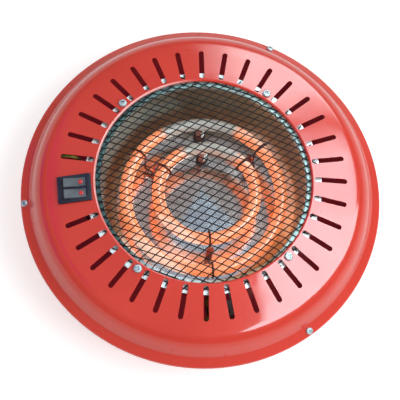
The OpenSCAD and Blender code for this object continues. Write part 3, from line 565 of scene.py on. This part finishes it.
def layer(direction, pitch, offset, dome_r, flat_z, centre_z):
    """Paths of one layer's wires: over the dome, and beside it flat, in runs between the screws."""
    turn = Matrix.Rotation(math.radians(direction), 4, "Z")
    paths = []
    count = math.ceil(GUARD_OUT_R / pitch)
    for k in range(-count, count + 1):
        y = offset + k * pitch
        if abs(y) > GUARD_OUT_R - 2 * WIRE_R:
            continue
        edge = math.sqrt(GUARD_OUT_R ** 2 - y ** 2)
        if abs(y) < dome_r - 2 * BEND_R:
            right = half_wire(y, dome_r, flat_z, centre_z, wire_end(direction, y, 1, edge))
            left = half_wire(y, dome_r, flat_z, centre_z, wire_end(direction, y, -1, edge))
            runs = [[(-p.x, p.y) for p in reversed(left[1:])] + [(p.x, p.y) for p in right]]
        elif abs(y) > dome_r + BESIDE_DOME:
            ends = [-edge] + [end for stop in screw_stops(direction, y, 1) for end in stop] + [edge]
            stretches = [(a, b) for a, b in zip(ends[::2], ends[1::2]) if b - a > SHORTEST_RUN]
            runs = [[(a, flat_z), ((a + b) / 2, flat_z), (b, flat_z)] for a, b in stretches]
        else:
            continue
        paths += [[turn @ Vector((x, y, z)) for x, z in run] for run in runs]
    return paths


GUARD = (("guard_upper", "guard_upper_wires", UPPER), ("guard_lower", "guard_lower_wires", LOWER))
for name, node, sizes in GUARD:
    wires = sweep(name, layer(**sizes), SWEEP_R)
    wires.data.materials.append(LOOKS["black_wire"].mat)
    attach(wires, BODY)
    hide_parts(node)


# Stage, light and camera, in metres
FLOOR_HALF = 6.0
FLOOR_GLOW_SEEN = 0.5
FLOOR_GLOW_MIRRORED = 0.2
WHITE = (1.0, 1.0, 1.0)
EVEN_LIGHT = (0.58, 0.58, 0.58)
RINGS_MIDDLE = (0.003, -0.0025)
EMBER_ANGLES = (150, 195, 240, 290, 335)
VIOLET = (0.28, 0.08, 0.74)
# Windows of the sky, as colour and shape; where two overlap, the later one shows
WINDOWS = (
    (VIOLET,
     dict(centre=(-0.445, 0.288, 0.848), along=(-0.42, 0.5), across=(-0.13, 0.08), soft=0.03)),
    (VIOLET,
     dict(centre=(-0.877, 0.243, 0.415), along=(-0.42, 0.5), across=(-0.25, 0.06), soft=0.03)),
    ((7.4, 8.6, 9.0),
     dict(centre=(0.40, 0.68, 0.61), along=(-0.16, 0.16), across=(-0.22, 0.22), soft=0.07)),
    ((6.4, 9.2, 10.0),
     dict(centre=(0.475, 0.355, 0.934), along=(-0.22, 0.15), across=(-0.22, 0.2), soft=0.06)),
    ((7.0, 10.8, 11.8),
     dict(centre=(0.55, -0.1, 0.83), along=(-0.5, 0.32), across=(-0.34, 0.31), soft=0.02, corner=0.25)),
)
LENS_MM = 106.37
SENSOR_MM = 36.0
CAMERA_AT = (-0.1141, -0.40494, 1.12714)
CAMERA_LOOKS = Vector((0.0971, 0.3450, -0.9336))
CAMERA_RIGHT = Vector((0.9925, -0.1039, 0.0649))


def stage_floor():
    """A pale floor that keeps the shadow, and glows a little for the camera and for mirrors."""
    mesh = bpy.data.meshes.new("floor")
    corners = [(x * FLOOR_HALF, y * FLOOR_HALF, 0) for x, y in ((-1, -1), (1, -1), (1, 1), (-1, 1))]
    mesh.from_pydata(corners, [], [(0, 1, 2, 3)])
    obj = bpy.data.objects.new("floor", mesh)
    bpy.context.scene.collection.objects.link(obj)
    s = Shader("pale_floor")
    s.colour(s.tones(s.noise(3.0), (0.80, 0.80, 0.80), (0.83, 0.83, 0.83)))
    s.set(Roughness=0.9, Specular_IOR_Level=0.1)
    camera_ray, mirrored = s.rays()
    glow = s.add("ShaderNodeEmission")
    strength = s.plus(s.times(camera_ray, FLOOR_GLOW_SEEN), s.times(mirrored, FLOOR_GLOW_MIRRORED))
    s.link(strength, glow.inputs["Strength"])
    both = s.add("ShaderNodeAddShader")
    s.link(s.bsdf.outputs[0], both.inputs[0])
    s.link(glow.outputs[0], both.inputs[1])
    s.link(both.outputs[0], s.tree.nodes["Material Output"].inputs["Surface"])
    mesh.materials.append(s.mat)


class Sky(Nodes):
    """The studio that glossy surfaces see, by direction, and an even light for the rest."""

    def __init__(self):
        world = bpy.data.worlds.new("studio")
        bpy.context.scene.world = world
        world.use_nodes = True
        super().__init__(world.node_tree, "Generated")

    def window(self, centre, along, across, soft, corner=None):
        """A rectangle of sky: its reach along the way to +Y and across it, as tangents from its centre.

        Beyond corner, measured across less along, it is cut off.
        """
        c = Vector(centre).normalized()
        a = (Vector((0, 1, 0)) - c * c.y).normalized()
        front = self.dot(c)
        u = self.math("DIVIDE", self.dot(a), front)
        v = self.math("DIVIDE", self.dot(a.cross(c)), front)
        seen = self.times(self.between(u, *along, soft), self.between(v, *across, soft))
        if corner is not None:
            seen = self.times(seen, self.below(self.minus(v, u), (corner - soft, corner + soft)))
        return self.times(seen, self.above(front, (0.05, 0.1)))

    def build(self):
        # By height: a white horizon, a dark band and a grey-blue ceiling
        studio = self.ramp(self.height(), (0.0, WHITE), (0.12, (0.95, 0.95, 0.95)),
                           (0.30, (0.30, 0.28, 0.30)), (0.6, (0.24, 0.24, 0.27)), (0.86, (0.48, 0.52, 0.58)),
                           (1.0, (0.44, 0.49, 0.56)))
        for colour, shape in WINDOWS:
            studio = self.mix(self.window(**shape), studio, colour)
        camera_ray, mirrored = self.rays()
        shown = self.mix(mirrored, EVEN_LIGHT, studio)
        background = self.tree.nodes["Background"]
        self.link(self.mix(camera_ray, shown, WHITE), background.inputs["Color"])


def lamp(name, towards, distance, size, radiance):
    """A soft square light in a direction from the object; mirrors see the sky's window in its place."""
    data = bpy.data.lights.new(name, "AREA")
    data.size = size
    data.energy = radiance * math.pi * size ** 2
    obj = bpy.data.objects.new(name, data)
    back = Vector(towards).normalized()
    turn = back.to_track_quat("Z", "Y").to_matrix().to_4x4()
    obj.matrix_world = Matrix.Translation(back * distance) @ turn
    obj.visible_glossy = False
    bpy.context.scene.collection.objects.link(obj)


def ember(name, angle, radius, height, power):
    """A small warm light beside the rings, for what their glow gives to the bowl."""
    data = bpy.data.lights.new(name, "POINT")
    data.energy = power
    data.color = (1.0, 0.30, 0.08)
    data.shadow_soft_size = 0.012
    obj = bpy.data.objects.new(name, data)
    a = math.radians(angle)
    x, y = RINGS_MIDDLE
    obj.location = (x + radius * math.cos(a), y + radius * math.sin(a), height)
    obj.visible_glossy = False
    bpy.context.scene.collection.objects.link(obj)


def camera():
    """The camera, fitted to the photo's ellipses, slots and screws."""
    data = bpy.data.cameras.new("camera")
    data.sensor_fit = "HORIZONTAL"
    data.sensor_width = SENSOR_MM
    data.lens = LENS_MM
    data.clip_start = 0.01
    obj = bpy.data.objects.new("camera", data)
    back = -CAMERA_LOOKS.normalized()
    right = (CAMERA_RIGHT - back * CAMERA_RIGHT.dot(back)).normalized()
    turn = Matrix((right, back.cross(right), back)).transposed().to_4x4()
    obj.matrix_world = Matrix.Translation(CAMERA_AT) @ turn
    bpy.context.scene.collection.objects.link(obj)
    bpy.context.scene.camera = obj


stage_floor()
Sky().build()
lamp("window_light", towards=(0.57, -0.30, 0.79), distance=1.8, size=1.3, radiance=3.5)
for k, angle in enumerate(EMBER_ANGLES):
    ember("ember_%d" % k, angle, radius=0.061, height=0.045, power=0.03)
camera()
bpy.context.scene.view_settings.view_transform = "Standard"
